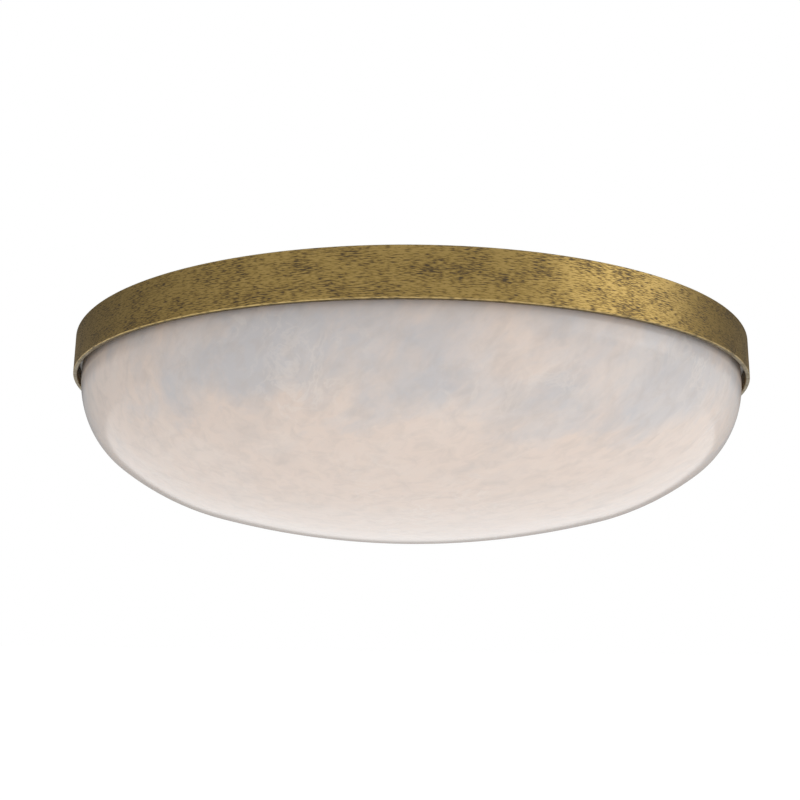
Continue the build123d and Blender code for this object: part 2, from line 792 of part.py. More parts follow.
# The pin through the three knuckles, with a head at each end
with BuildPart() as hinge_pin:
    pin_half = outer_knuckle_end + pin_end_gap
    with BuildSketch(Plane.XZ):
        with Locations((hinge_x, hinge_z)):
            Circle(hinge_pin_radius)
    extrude(amount=pin_half, both=True)
    for side in (-1, 1):
        with BuildSketch(Plane.XZ.offset(-side * pin_half)):
            with Locations((hinge_x, hinge_z)):
                Circle(pin_head_radius)
        extrude(amount=-side * pin_head_thickness)
save(hinge_pin, "hinge_pin")

# The keeper: a hook under the pan's flange, on whose foot the catch bolt rests
with BuildPart() as catch_keeper:
    foot_end = bolt_outer + keeper_foot_overhang
    with BuildSketch(Plane.XZ.offset(-keeper_start)):
        with BuildLine():
            Polyline(
                (keeper_tab_start, -pan_sheet),
                (keeper_leg + keeper_sheet, -pan_sheet),
                (keeper_leg + keeper_sheet, keeper_foot_top),
                (foot_end, keeper_foot_top),
                (foot_end, keeper_foot_top - keeper_sheet),
                (keeper_leg, keeper_foot_top - keeper_sheet),
                (keeper_leg, -pan_sheet - keeper_sheet),
                (keeper_tab_start, -pan_sheet - keeper_sheet),
                close=True,
            )
        make_face()
    extrude(amount=-keeper_width)
    with BuildSketch(Plane.XY.offset(-pan_sheet)):
        with Locations(*keeper_rivets_at):
            Circle(rivet_radius + rivet_gap)
    extrude(amount=-2 * keeper_sheet, mode=Mode.SUBTRACT)
save(catch_keeper, "catch_keeper")

# The two straps on the band that guide the bolt
with BuildPart() as catch_guides:
    guide_web = bolt_inner - running_gap
    half_gap = bolt_height / 2 + running_gap
    for start in (guide_ahead, -guide_behind - guide_width):
        with BuildSketch(Plane.XZ.offset(-start)):
            with Locations(((guide_web - guide_sheet + band_outer) / 2, catch_height)):
                Rectangle(band_outer - guide_web + guide_sheet, 2 * half_gap + 2 * guide_sheet)
            with Locations(((guide_web + band_outer + 1) / 2, catch_height)):
                Rectangle(band_outer + 1 - guide_web, 2 * half_gap, mode=Mode.SUBTRACT)
        extrude(amount=-guide_width)
    with Locations((0, 0, catch_height)):
        Cylinder(band_inner - solder_gap, 4 * bolt_height, mode=Mode.INTERSECT)
save(catch_guides, "catch_guides")

# The sliding bolt, with the shank that reaches out through the band's slot
with BuildPart() as catch_bolt:
    with BuildSketch(Plane.YZ.offset(bolt_inner)):
        with Locations(((bolt_ahead - bolt_behind) / 2, catch_height)):
            Rectangle(bolt_ahead + bolt_behind, bolt_height)
    extrude(amount=bolt_thickness)
    with BuildSketch(Plane.YZ.offset(bolt_outer)):
        with Locations((0, catch_height)):
            Rectangle(shank_shoulder_width, bolt_height)
    extrude(amount=band_inner - shoulder_gap - bolt_outer)
    with BuildSketch(Plane.YZ.offset(bolt_outer)):
        with Locations((0, catch_height)):
            Rectangle(shank_width, shank_height)
    extrude(amount=thumb_inner - bolt_outer)
    with BuildSketch(Plane.YZ.offset(thumb_inner)):
        with Locations((0, catch_height)):
            Circle(catch_screw_radius + rivet_gap)
    extrude(amount=-catch_screw_depth, mode=Mode.SUBTRACT)
save(catch_bolt, "catch_bolt")

# The thumb piece, ribbed for grip, with a sunk hole for its screw
with BuildPart() as thumb_piece:
    thumb_outer = thumb_inner + thumb_thickness
    with BuildSketch(Plane.YZ.offset(thumb_inner)):
        with Locations((0, catch_height)):
            RectangleRounded(thumb_length, thumb_height, thumb_corner)
    extrude(amount=thumb_thickness)
    chamfer(faces().sort_by(Axis.X)[-1].edges(), thumb_corner / 2)
    for side in (-1, 1):
        for step in (1.25, 2):
            with Locations((thumb_outer, side * step * thumb_rib_pitch, catch_height)):
                Box(2 * thumb_rib_depth, thumb_rib_width, 2 * thumb_height, mode=Mode.SUBTRACT)
    with BuildSketch(Plane.YZ.offset(thumb_inner)):
        with Locations((0, catch_height)):
            Circle(catch_screw_radius + rivet_gap)
    extrude(amount=thumb_thickness, mode=Mode.SUBTRACT)
    with BuildSketch(Plane.YZ.offset(thumb_outer)):
        with Locations((0, catch_height)):
            Circle(catch_screw_head + rivet_gap)
    extrude(amount=-thumb_thickness / 2, mode=Mode.SUBTRACT)
save(thumb_piece, "thumb_piece")

# The screw that holds the thumb piece on the shank
with BuildPart() as catch_screw:
    head_seat = thumb_outer - thumb_thickness / 2
    with BuildSketch(Plane.YZ.offset(head_seat)):
        with Locations((0, catch_height)):
            Circle(catch_screw_radius)
    extrude(amount=-(head_seat - thumb_inner) - catch_screw_depth + running_gap)
    with BuildSketch(Plane.YZ.offset(head_seat)):
        with Locations((0, catch_height)):
            Circle(catch_screw_head)
    extrude(amount=thumb_thickness / 2 - running_gap)
save(catch_screw, "catch_screw")
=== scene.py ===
"""A flush mount ceiling light: flecked antique brass band, polished alabaster bowl, fitting and lamps.

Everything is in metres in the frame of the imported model: the ceiling is Z = 0 and the light hangs below.
"""

import json

import bmesh
import bpy
import numpy as np
from mathutils import Matrix


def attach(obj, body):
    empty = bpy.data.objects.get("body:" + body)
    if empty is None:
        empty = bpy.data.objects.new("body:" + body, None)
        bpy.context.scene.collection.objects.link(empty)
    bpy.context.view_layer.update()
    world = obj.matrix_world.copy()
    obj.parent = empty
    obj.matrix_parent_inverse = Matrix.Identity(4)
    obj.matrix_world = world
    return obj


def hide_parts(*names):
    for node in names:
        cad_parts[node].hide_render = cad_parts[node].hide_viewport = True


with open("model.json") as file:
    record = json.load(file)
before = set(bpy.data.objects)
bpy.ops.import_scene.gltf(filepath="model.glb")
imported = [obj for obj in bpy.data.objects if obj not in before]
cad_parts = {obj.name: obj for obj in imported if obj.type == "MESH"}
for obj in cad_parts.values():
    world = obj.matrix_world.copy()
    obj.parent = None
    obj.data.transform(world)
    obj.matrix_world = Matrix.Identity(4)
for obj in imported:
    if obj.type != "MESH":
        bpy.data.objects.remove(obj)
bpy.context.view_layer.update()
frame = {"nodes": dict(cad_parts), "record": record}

mm = 0.001

# Sizes of the band, the bowl and the fitting, as in the CAD
band_outer = 216 * mm
band_inner = 214 * mm
band_top = -1.5 * mm
band_bottom = -23.5 * mm
bowl_outer = 211.7 * mm
bowl_inner = 201.7 * mm
bowl_rim = -15.5 * mm
bowl_depth = 93.7 * mm
bowl_wall = 10 * mm
band_slot_heights = (-9.3 * mm, -5.7 * mm)
band_slot_sides = (-11.9 * mm, 1.9 * mm)
band_notch_half = 9 * mm
band_notch_depth = 1.9 * mm
lamp_height = -48 * mm
lamp_angles = (90, 210, 330)
pan_sheet = 1.2 * mm
pan_floor = -14.2 * mm
bracket_sheet = 1.5 * mm
bracket_foot_middle = 35.25 * mm
keeper_sheet = 1.2 * mm
hinge_sheet = 1.6 * mm
rivet_radius = 1.5 * mm
rivet_head = 2.3 * mm
bar_underside = -2.5 * mm
pan_studs_at = (-23 * mm, 23 * mm)
pan_stud_end = -21 * mm
rim_middle = 206.7 * mm
rim_stud_angles = np.radians(range(30, 360, 60))
rim_stud_end = -24.5 * mm
ring_top = -12.9 * mm
block_middle = -31 * mm
block_well_floor = -23.2 * mm
thumb_screw_seat = (218.6 * mm, 0, -7.5 * mm)

down, to_the_right = (0, 0, -1), (1, 0, 0)

body_of = {node: body for body, nodes in frame["record"]["behaviour"]["bodies"].items() for node in nodes}


def linear(hex_code):
    """An sRGB hex colour as linear RGBA."""
    srgb = np.array([int(hex_code[i : i + 2], 16) for i in (0, 2, 4)]) / 255
    rgb = np.where(srgb <= 0.04045, srgb / 12.92, ((srgb + 0.055) / 1.055) ** 2.4)
    return (*rgb.tolist(), 1.0)


def add(tree, kind, inputs=None, **settings):
    """Add a node with its settings; inputs take values or the sockets that feed them."""
    made = tree.nodes.new(kind)
    for name, value in settings.items():
        setattr(made, name, value)
    for name, value in (inputs or {}).items():
        if isinstance(value, bpy.types.NodeSocket):
            tree.links.new(value, made.inputs[name])
        else:
            made.inputs[name].default_value = value
    return made


def new_material(name, colour, roughness, metallic=0.0, **sockets):
    """A material with one Principled shader; sockets are set by name with _ for a space."""
    material = bpy.data.materials.new(name)
    material.use_nodes = True
    shader = material.node_tree.nodes["Principled BSDF"]
    shader.inputs["Base Color"].default_value = linear(colour)
    shader.inputs["Roughness"].default_value = roughness
    shader.inputs["Metallic"].default_value = metallic
    for socket, value in sockets.items():
        shader.inputs[socket.replace("_", " ")].default_value = value
    return material, material.node_tree, shader


def mottle(tree, shader, size, light, dark, rough, depth=0.0, stretch=(1, 1, 1), detail=4.0):
    """Noise of a real size in metres between two colours and two roughnesses, with a bump of real depth."""
    place = add(tree, "ShaderNodeTexCoord").outputs["Object"]
    mapped = add(tree, "ShaderNodeMapping", {"Vector": place, "Scale": stretch}).outputs[0]
    inputs = {"Vector": mapped, "Scale": 1 / size, "Detail": detail}
    noise = add(tree, "ShaderNodeTexNoise", inputs).outputs["Fac"]
    share = add(tree, "ShaderNodeMapRange", {0: noise, 1: 0.3, 2: 0.7}).outputs[0]
    colour = add(tree, "ShaderNodeMix", {0: share, 6: linear(light), 7: linear(dark)}, data_type="RGBA")
    tree.links.new(colour.outputs[2], shader.inputs["Base Color"])
    ramp = add(tree, "ShaderNodeMapRange", {0: noise, 1: 0.3, 2: 0.7, 3: rough[0], 4: rough[1]})
    tree.links.new(ramp.outputs[0], shader.inputs["Roughness"])
    if depth:
        bump = add(tree, "ShaderNodeBump", {"Height": noise, "Distance": depth, "Strength": 1.0})
        tree.links.new(bump.outputs[0], shader.inputs["Normal"])


def antique_brass():
    """Antique brass sheet, darkened and then burnished back along the band to short streaks in clumps."""
    material, tree, shader = new_material("antique_brass_flecked", "b1955c", 0.4, 1.0)
    place = add(tree, "ShaderNodeTexCoord").outputs["Object"]
    x, y, z = add(tree, "ShaderNodeSeparateXYZ", {0: place}).outputs
    turn = add(tree, "ShaderNodeMath", {0: y, 1: x}, operation="ARCTAN2").outputs[0]
    along = add(tree, "ShaderNodeMath", {0: turn, 1: band_outer}, operation="MULTIPLY").outputs[0]
    flat = add(tree, "ShaderNodeCombineXYZ", {0: along, 1: z}).outputs[0]

    def grain(length, width, detail, shift=0.0, tilt=0.0):
        """Noise on the unrolled band, of a length and a width in millimetres."""
        inputs = {"Vector": flat, "Scale": (length * mm, width * mm, 1), "Location": (shift, shift, 0)}
        mapped = add(tree, "ShaderNodeMapping", {**inputs, "Rotation": (0, 0, tilt)}, vector_type="TEXTURE")
        made = add(tree, "ShaderNodeTexNoise", {"Vector": mapped.outputs[0], "Scale": 1.0, "Detail": detail})
        return made.outputs["Fac"]

    # Clouds of the patina, streaks 4.5 by 0.6 mm and 2.6 by 0.4 mm, and scratches finer still
    cloud = grain(14, 8, 2.0)
    long_streak = grain(4.5, 0.6, 3.0, 3.1, 0.04)
    short_streak = grain(2.6, 0.4, 3.0, 7.7, -0.05)
    scratch = grain(7, 0.2, 2.0, 11.3)
    dark = 0.0
    for value, weight in ((cloud, 0.4), (long_streak, 0.5), (short_streak, 0.9), (scratch, 0.2)):
        inputs = {0: value, 1: weight, 2: dark}
        dark = add(tree, "ShaderNodeMath", inputs, operation="MULTIPLY_ADD").outputs[0]
    dark = add(tree, "ShaderNodeMapRange", {0: dark, 1: 0.91, 2: 1.18}).outputs[0]

    # Rubbed gold, then brown, then the grey-brown of the thickest patina
    tone = add(tree, "ShaderNodeValToRGB", {0: dark})
    stops = ((0.0, "c4a666"), (0.3, "b49858"), (0.52, "9c814e"), (0.74, "806c49"), (1.0, "5f5444"))
    ramp = tone.color_ramp.elements
    for number, (at, colour) in enumerate(stops):
        stop = ramp[number] if number < 2 else ramp.new(at)
        stop.position = at
        stop.color = linear(colour)
    # The outer corners get a thin lighter line, wear with a painted highlight; the underside is painted dark
    # as shade
    low = add(tree, "ShaderNodeMapRange", {0: z, 1: -22.8 * mm, 2: -23.05 * mm}).outputs[0]
    high = add(tree, "ShaderNodeMapRange", {0: z, 1: -2.1 * mm, 2: -1.8 * mm}).outputs[0]
    edge_wear_and_highlight = add(tree, "ShaderNodeMath", {0: low, 1: high}, operation="MAXIMUM").outputs[0]
    wear_and_highlight_strength = add(tree, "ShaderNodeMapRange", {0: dark, 3: 0.4, 4: 0.1}).outputs[0]
    edge_wear_and_highlight = add(tree, "ShaderNodeMath", {0: edge_wear_and_highlight, 1: wear_and_highlight_strength}, operation="MULTIPLY").outputs[0]
    # Painted shade: the band's underside is tinted dark olive, as if in shadow
    painted_lip_shade = add(tree, "ShaderNodeMapRange", {0: z, 1: -23.3 * mm, 2: -23.45 * mm, 4: 0.85}).outputs[0]
    colour = tone.outputs[0]
    for share, tint in ((edge_wear_and_highlight, "d3bd8a"), (painted_lip_shade, "6b6044")):
        inputs = {0: share, 6: colour, 7: linear(tint)}
        colour = add(tree, "ShaderNodeMix", inputs, data_type="RGBA").outputs[2]
    tree.links.new(colour, shader.inputs["Base Color"])
    rough = add(tree, "ShaderNodeMapRange", {0: dark, 3: 0.34, 4: 0.52}).outputs[0]
    tree.links.new(rough, shader.inputs["Roughness"])
    # The dark streaks and the scratches lie 0.03 mm deep
    relief = 0.0
    for value, weight in ((short_streak, -0.6), (scratch, -0.4)):
        inputs = {0: value, 1: weight, 2: relief}
        relief = add(tree, "ShaderNodeMath", inputs, operation="MULTIPLY_ADD").outputs[0]
    bump = add(tree, "ShaderNodeBump", {"Height": relief, "Distance": 0.03 * mm, "Strength": 1.0}).outputs[0]
    tree.links.new(bump, shader.inputs["Normal"])
    return material


def alabaster():
    """Polished alabaster: cool clouds near the rim, with painted shade under the band, warm stone below, and
    drifts that rise to the right.
    """
    material, tree, shader = new_material(
        "alabaster_polished",
        "dfd8d2",
        0.14,
        Subsurface_Weight=0.12,
        Subsurface_Radius=(0.9, 0.75, 0.6),
        Subsurface_Scale=6 * mm,
    )
    place = add(tree, "ShaderNodeTexCoord").outputs["Object"]
    z = add(tree, "ShaderNodeSeparateXYZ", {0: place}).outputs[2]

    def cloud(size, stretch, detail, warp, shift):
        """Noise of a size in millimetres, stretched along a line that rises to the right."""
        scale = (size * stretch * mm, size * mm, size * mm)
        inputs = {"Vector": place, "Scale": scale, "Rotation": (0.15, -0.7, 0.1), "Location": (shift, 0, 0)}
        mapped = add(tree, "ShaderNodeMapping", inputs, vector_type="TEXTURE").outputs[0]
        inputs = {"Vector": mapped, "Scale": 1.0, "Detail": detail, "Roughness": 0.6, "Distortion": warp}
        return add(tree, "ShaderNodeTexNoise", inputs).outputs["Fac"]

    # Cool clouds with feathered edges: a noise, shifted towards cool near the rim and round five places
    # of the block, each with its x, z, length and height in millimetres and its share
    # Cooler and darker towards the rim: partly the stone's cool hue, partly painted shade under the band
    edge = add(tree, "ShaderNodeMapRange", {0: z, 1: -92 * mm, 2: -34 * mm, 3: -0.24, 4: 0.02}).outputs[0]
    # Stone clouds and painted shade together: these places darken the upper left, the middle and the right to
    # stand for uneven light, and the last one lightens the far left
    drifts = (
        (-72, -44, 75, 24, 0.24),
        (0, -54, 55, 20, 0.16),
        (78, -60, 62, 26, 0.28),
        (130, -42, 50, 30, 0.12),
        (-142, -38, 40, 28, -0.2),
    )
    terms = []
    for x, height, length, tall, share in drifts:
        inputs = {"Vector": place, "Location": (x * mm, 0, height * mm), "Rotation": (0, -0.25, 0)}
        inputs["Scale"] = (length * mm, 1.0, tall * mm)
        near = add(tree, "ShaderNodeMapping", inputs, vector_type="TEXTURE").outputs[0]
        near = add(tree, "ShaderNodeTexGradient", {"Vector": near}, gradient_type="SPHERICAL").outputs["Fac"]
        terms.append((near, share))
    terms += [(cloud(48, 1.9, 8.0, 0.3, 4.0), 0.7), (cloud(15, 2.0, 8.0, 0.5, 6.0), 0.35)]
    for value, share in terms:
        edge = add(tree, "ShaderNodeMath", {0: value, 1: share, 2: edge}, operation="MULTIPLY_ADD").outputs[0]
    cool = add(tree, "ShaderNodeMapRange", {0: edge, 1: 0.44, 2: 0.62}).outputs[0]

    # Over them lighter drifts 30 mm across, smoky ones of 18 mm and a fine mottling of 7 mm: each has its
    # noise, the values between which it comes in, the most that it covers, and its colour
    layers = [(cool, "d3cfcf")]
    for noise, start, stop, most, tint in (
        (cloud(30, 2.4, 6.0, 0.4, 3.0), 0.48, 0.72, 0.5, "efe3da"),
        (cloud(18, 2.8, 6.0, 0.4, 7.0), 0.5, 0.78, 0.4, "d0c8c3"),
        (cloud(7, 1.8, 6.0, 0.6, 5.0), 0.45, 0.75, 0.45, "cdc1b9"),
    ):
        share = add(tree, "ShaderNodeMapRange", {0: noise, 1: start, 2: stop, 4: most}).outputs[0]
        layers.append((share, tint))

    # Fine pale threads where a small noise crosses its middle, only in some parts of the stone
    some = add(tree, "ShaderNodeMapRange", {0: cloud(55, 1.4, 2.0, 0.0, 11.0), 1: 0.5, 2: 0.66}).outputs[0]
    away = add(tree, "ShaderNodeMath", {0: cloud(13, 1.5, 5.0, 0.8, 9.0), 1: 0.5}, operation="SUBTRACT")
    away = add(tree, "ShaderNodeMath", {0: away.outputs[0]}, operation="ABSOLUTE").outputs[0]
    thread = add(tree, "ShaderNodeMapRange", {0: away, 2: 0.05, 3: 0.32, 4: 0.0}).outputs[0]
    thread = add(tree, "ShaderNodeMath", {0: thread, 1: some}, operation="MULTIPLY").outputs[0]
    layers.append((thread, "f5ece4"))

    colour = linear("ecdbcf")
    for share, tint in layers:
        inputs = {0: share, 6: colour, 7: linear(tint)}
        colour = add(tree, "ShaderNodeMix", inputs, data_type="RGBA").outputs[2]
    tree.links.new(colour, shader.inputs["Base Color"])
    return material


def surface(name, points, faces, sharp=0.6):
    """An object from a table of points and a list of faces, facing outwards, smooth below the sharp angle."""
    mesh = bpy.data.meshes.new(name)
    mesh.from_pydata(np.asarray(points, float).tolist(), [], np.asarray(faces).tolist())
    return tidy(name, mesh, sharp)


def tidy(name, mesh, sharp=0.6, bevel=0.0):
    """Merge doubles, turn the faces outwards, shade smooth, and round the sharp edges by a bevel.

    Normals that came with a mesh no longer fit once its points are merged, so they go first.
    """
    if "custom_normal" in mesh.attributes:
        mesh.attributes.remove(mesh.attributes["custom_normal"])
    work = bmesh.new()
    work.from_mesh(mesh)
    bmesh.ops.remove_doubles(work, verts=work.verts, dist=1e-6)
    bmesh.ops.dissolve_degenerate(work, dist=1e-7, edges=work.edges)
    bmesh.ops.recalc_face_normals(work, faces=work.faces)
    work.to_mesh(mesh)
    work.free()
    mesh.materials.clear()
    mesh.polygons.foreach_set("use_smooth", [True] * len(mesh.polygons))
    mesh.set_sharp_from_angle(angle=sharp)
    piece = bpy.data.objects.new(name, mesh)
    bpy.context.scene.collection.objects.link(piece)
    if bevel:
        edge = piece.modifiers.new("edge", "BEVEL")
        edge.width = bevel
        edge.segments = 2
        edge.limit_method = "ANGLE"
        edge.angle_limit = 0.7
    # Normals follow the large faces, so that flat sheet stays flat beside its bends
    even = piece.modifiers.new("even", "WEIGHTED_NORMAL")
    even.keep_sharp = True
    return piece


def settle(piece, node, material):
    """Give a piece its material and let it stand for a CAD node on that node's body."""
    piece.data.materials.append(material)
    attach(piece, body_of[node])
    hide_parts(node)


def dressed(node, material, bevel=0.0):
    """Add a merged and smoothed copy of a CAD node, with its material."""
    mesh = frame["nodes"][node].data.copy()
    settle(tidy(node + "_finished", mesh, bevel=bevel), node, material)


def arc(centre, radius, start, stop, steps):
    """Points (x + r cos t, y + r sin t) of an arc in the plane, with t from start to stop in degrees."""
    turn = np.radians(np.linspace(start, stop, steps))
    return np.stack([centre[0] + radius * np.cos(turn), centre[1] + radius * np.sin(turn)], 1)


def grid_faces(rows, columns, close_rows=False, close_columns=True):
    """Quads of a grid of points numbered row by row."""
    i = np.arange(rows if close_rows else rows - 1)[:, None]
    j = np.arange(columns if close_columns else columns - 1)[None, :]
    i2 = (i + 1) % rows
    j2 = (j + 1) % columns
    corners = [i * columns + j, i * columns + j2, i2 * columns + j2, i2 * columns + j]
    return np.stack(corners, -1).reshape(-1, 4)


def around(radius, height, turn):
    """Points x = r cos a, y = r sin a, z = h round Z, for each row of radii and heights and each angle a."""
    x, y = radius * np.cos(turn), radius * np.sin(turn)
    return np.stack([x, y, np.broadcast_to(height, x.shape)], -1).reshape(-1, 3)


def turned(profile, columns, closed=False):
    """A profile of (radius, height) turned round Z."""
    profile = np.asarray(profile, float)
    turn = np.linspace(0, 2 * np.pi, columns, endpoint=False)
    points = around(profile[:, :1], profile[:, 1:], turn)
    return points, grid_faces(len(profile), columns, closed)


def stand(points, origin, axis):
    """Carry points whose axis is Z to an origin, with that axis along another."""
    axis = np.asarray(axis, float)
    side = np.array([1.0, 0, 0]) if abs(axis[2]) > 0.9 else np.cross((0, 0, 1.0), axis)
    return np.asarray(points) @ np.stack([side, np.cross(axis, side), axis]) + np.asarray(origin)


def outwards(angle, reach=0.0, side=0.0):
    """The place at lamp height that far out at an angle round Z and to the side, and the way outwards."""
    turn = np.radians(angle)
    axis = np.array([np.cos(turn), np.sin(turn), 0])
    return reach * axis + side * np.array([-axis[1], axis[0], 0]) + [0, 0, lamp_height], axis


def joined(name, shapes):
    """One object from several tables of points and lists of faces."""
    starts = np.cumsum([0] + [len(points) for points, _ in shapes[:-1]])
    faces = [faces + start for (_, faces), start in zip(shapes, starts)]
    return surface(name, np.vstack([points for points, _ in shapes]), np.vstack(faces))


def copies(shape, origins, axis=(0, 0, 1)):
    """Copies of a shape at several origins, along one axis."""
    return [(stand(shape[0], origin, axis), shape[1]) for origin in origins]


def hexed(rows, flats):
    """Rows of (radius, height) turned round Z, each radius limited to a hexagon of a width across flats."""
    rows, columns = np.asarray(rows, float), 72
    turn = np.linspace(0, 2 * np.pi, columns, endpoint=False)
    radius = np.minimum(rows[:, :1], flats / 2 / np.cos(turn % (np.pi / 3) - np.pi / 6))
    return around(radius, rows[:, 1:], turn), grid_faces(len(rows), columns)


def chamfer(face, level, depths):
    """Rows of (radius, height) of a chamfer: the radius is face + 1.8 times the depth past the level."""
    return [(face + 1.8 * abs(depth), level + depth) for depth in np.array(depths) * mm]


def threaded(radius, length, pitch, depth):
    """A threaded rod from Z = 0 up, thinner by depth (1 + cos(2 pi z / pitch - a)) / 2 at an angle a."""
    columns, rows_per_turn = 24, 8
    height = np.linspace(0, length, round(rows_per_turn * length / pitch))
    turn = np.linspace(0, 2 * np.pi, columns, endpoint=False)
    wave = (1 + np.cos(2 * np.pi * height[:, None] / pitch - turn)) / 2
    whole = np.clip(np.minimum(height, length - height) / pitch, 0, 1)[:, None]
    radius = radius - depth * (wave * whole + 1 - whole)
    ends = np.zeros((columns, 3))
    points = np.vstack([ends, around(radius, height[:, None], turn), ends + [0, 0, length]])
    return points, grid_faces(len(height) + 2, columns)


def slotted(radius, height, slot, depth, crown):
    """A round head on Z = 0 with a slot along Y; its top falls by crown * (x^2 + y^2) / radius^2.

    Lines of points run along the slot. At each wall of the slot two lines share their x, one at the
    top and one at the floor of the slot, so that the wall stands between them.
    """
    half = slot / 2
    side = radius * np.sin(np.linspace(-np.pi / 2, -np.arcsin(half / radius), 9))
    x = np.concatenate([side, [-half, half], -side[::-1]])[:, None]
    cut = np.zeros(x.shape)
    cut[9:11] = depth
    y = np.sqrt(np.maximum(radius**2 - x**2, 0)) * np.sin(np.linspace(-np.pi / 2, np.pi / 2, 13))
    x = np.broadcast_to(x, y.shape)
    top = height - crown * (x**2 + y**2) / radius**2 - cut
    rim = np.full(len(x), height - crown - depth)
    grids = [np.stack([x, y, level], -1) for level in (top, np.zeros(y.shape))]
    ends = [np.stack([x[:, end], y[:, end], rim], -1) for end in (0, -1)]
    lines, count = y.shape
    faces = grid_faces(lines, count, close_columns=False)
    walls = []
    for number, end in enumerate((0, count - 1)):
        upper = np.arange(lines) * count + end
        middle = 2 * lines * count + number * lines + np.arange(lines)
        for a, b in ((upper, middle), (middle, upper + lines * count)):
            walls.append(np.stack([a[:-1], a[1:], b[1:], b[:-1]], 1))
    points = np.vstack([grid.reshape(-1, 3) for grid in grids] + ends)
    return points, np.vstack([faces, faces + lines * count, *walls])


def rod(radius, start, stop):
    """A plain cylinder along Z."""
    return turned([(0, start), (radius, start), (radius, stop), (0, stop)], 32)


def rivet(length, tail_radius, tail_height):
    """A rivet along Z: under Z = 0 a dome of (head cos t, -1.3 mm sin t), then the shank and a flat tail."""
    dome = [(rivet_head * np.cos(t), -1.3 * mm * np.sin(t)) for t in np.linspace(np.pi / 2, 0, 8)]
    end = length + tail_height
    tail = [(tail_radius, length), (tail_radius, end), (0, end)]
    return turned([*dome, (rivet_radius, 0), (rivet_radius, length), *tail], 32)


def make_band():
    """The band: every (r, h) of its rounded section carried round Z to (r cos a, r sin a, h).

    Its four corners are rounded, by radii low and high and low_in and high_in. Over the hinge the top of
    the section is lowered by the notch, and the quads of the catch's slot are left out.
    """
    low, high, low_in, high_in = 0.6 * mm, 0.3 * mm, 0.43 * mm, 0.25 * mm
    levels = (-18 * mm, -13 * mm, *band_slot_heights, -4.2 * mm)
    bottom = arc((band_outer - low, band_bottom + low), low, -90, 0, 7)
    outer = [(band_outer, level) for level in levels]
    top = arc((band_outer - high, band_top - high), high, 0, 90, 5)
    top_in = arc((band_inner + high_in, band_top - high_in), high_in, 90, 180, 4)
    inner = [(band_inner, level) for level in levels[::-1]]
    bottom_in = arc((band_inner + low_in, band_bottom + low_in), low_in, 180, 270, 4)
    profile = np.vstack([bottom, outer, top, top_in, inner, bottom_in])
    outer_low = len(bottom) + 2
    inner_high = len(bottom) + len(outer) + len(top) + len(top_in) + 1

    # Half a degree apart, with columns of their own at the ends of the slot and of the notch. Two columns
    # stand at each end of the notch, one for the top edge and one for the lowered one
    slot_ends = np.arcsin(np.array(band_slot_sides) / band_outer)
    notch_end = np.pi - np.arcsin(band_notch_half / band_outer)
    steps = np.linspace(-np.pi, np.pi, 721)[:-1]
    steps = steps[np.abs(steps) < notch_end - 0.003]
    across_notch = np.linspace(notch_end, 2 * np.pi - notch_end, 9)
    turn = np.sort(np.concatenate([steps, across_notch, slot_ends, across_notch[[0, -1]]]))
    in_notch = turn > notch_end + 1e-6
    in_notch[np.argmin(np.abs(turn - notch_end)) + 1] = True
    in_notch[-1] = False
    count = len(turn)
    height = np.repeat(profile[:, 1:], count, 1)
    height = height - band_notch_depth * ((height > -3 * mm) & in_notch)
    points = around(profile[:, :1], height, turn)
    faces = grid_faces(len(profile), count, close_rows=True)

    # The slot: the quads of its window go, and four walls join the outer face to the inner one
    start, stop = (np.argmin(np.abs(turn - end)) for end in slot_ends)
    row, column = faces[:, 0] // count, faces[:, 0] % count
    window = ((row == outer_low) | (row == inner_high)) & (column >= start) & (column < stop)
    span = np.arange(start, stop)
    walls = []
    for out_row, in_row in ((outer_low, inner_high + 1), (outer_low + 1, inner_high)):
        a, b = out_row * count + span, in_row * count + span
        walls.append(np.stack([a, a + 1, b + 1, b], 1))
    rows = np.array([outer_low, outer_low + 1, inner_high, inner_high + 1])
    for end in (start, stop):
        walls.append((rows * count + end)[None, :])
    return surface("brass_band", points, np.vstack([faces[~window], *walls]), 0.9)


def bowl_curve(wall):
    """The bowl's curve below the band, pulled in by the wall: three arcs, each tangent to the next.

    A point at the angle t of an arc is (out + r cos t, height - r sin t). The flank turns 52.6 degrees,
    the shoulder 23.6 more, and the base ends level on the axis, at the bowl's depth.
    """
    first, second = np.radians(52.6), np.radians(52.6 + 23.6)
    cos1, sin1, cos2, sin2 = np.cos(first), np.sin(first), np.cos(second), np.sin(second)
    flank = 0.667 * bowl_depth
    out = bowl_outer - flank * (1 - cos1)
    drop = bowl_depth - flank * sin1
    spread = (cos1 - cos2) * (1 - sin2) - cos2 * (sin2 - sin1)
    shoulder = (out * (1 - sin2) - drop * cos2) / spread
    base = (drop * (cos1 - cos2) - out * (sin2 - sin1)) / spread
    middle = (bowl_outer - flank, band_bottom)
    lower = (middle[0] + (flank - shoulder) * cos1, middle[1] - (flank - shoulder) * sin1)
    lowest = (0, band_bottom - bowl_depth + base)
    arcs = [
        arc(middle, flank - wall, 0, -52.6, 40),
        arc(lower, shoulder - wall, -52.6, -76.2, 22)[1:],
        arc(lowest, base - wall, -76.2, -90, 26)[1:],
    ]
    return np.vstack(arcs)


def make_bowl():
    """The bowl: outer and inner curve of the stone joined over the rim, turned round Z."""
    edge = 0.8 * mm
    rim = [
        (bowl_outer, bowl_rim - edge),
        (bowl_outer - edge, bowl_rim),
        (bowl_inner + edge, bowl_rim),
        (bowl_inner, bowl_rim - edge),
    ]
    outside = bowl_curve(0)[::-1]
    inside = bowl_curve(bowl_wall)
    return surface("alabaster_bowl_carved", *turned(np.vstack([outside, rim, inside]), 360))


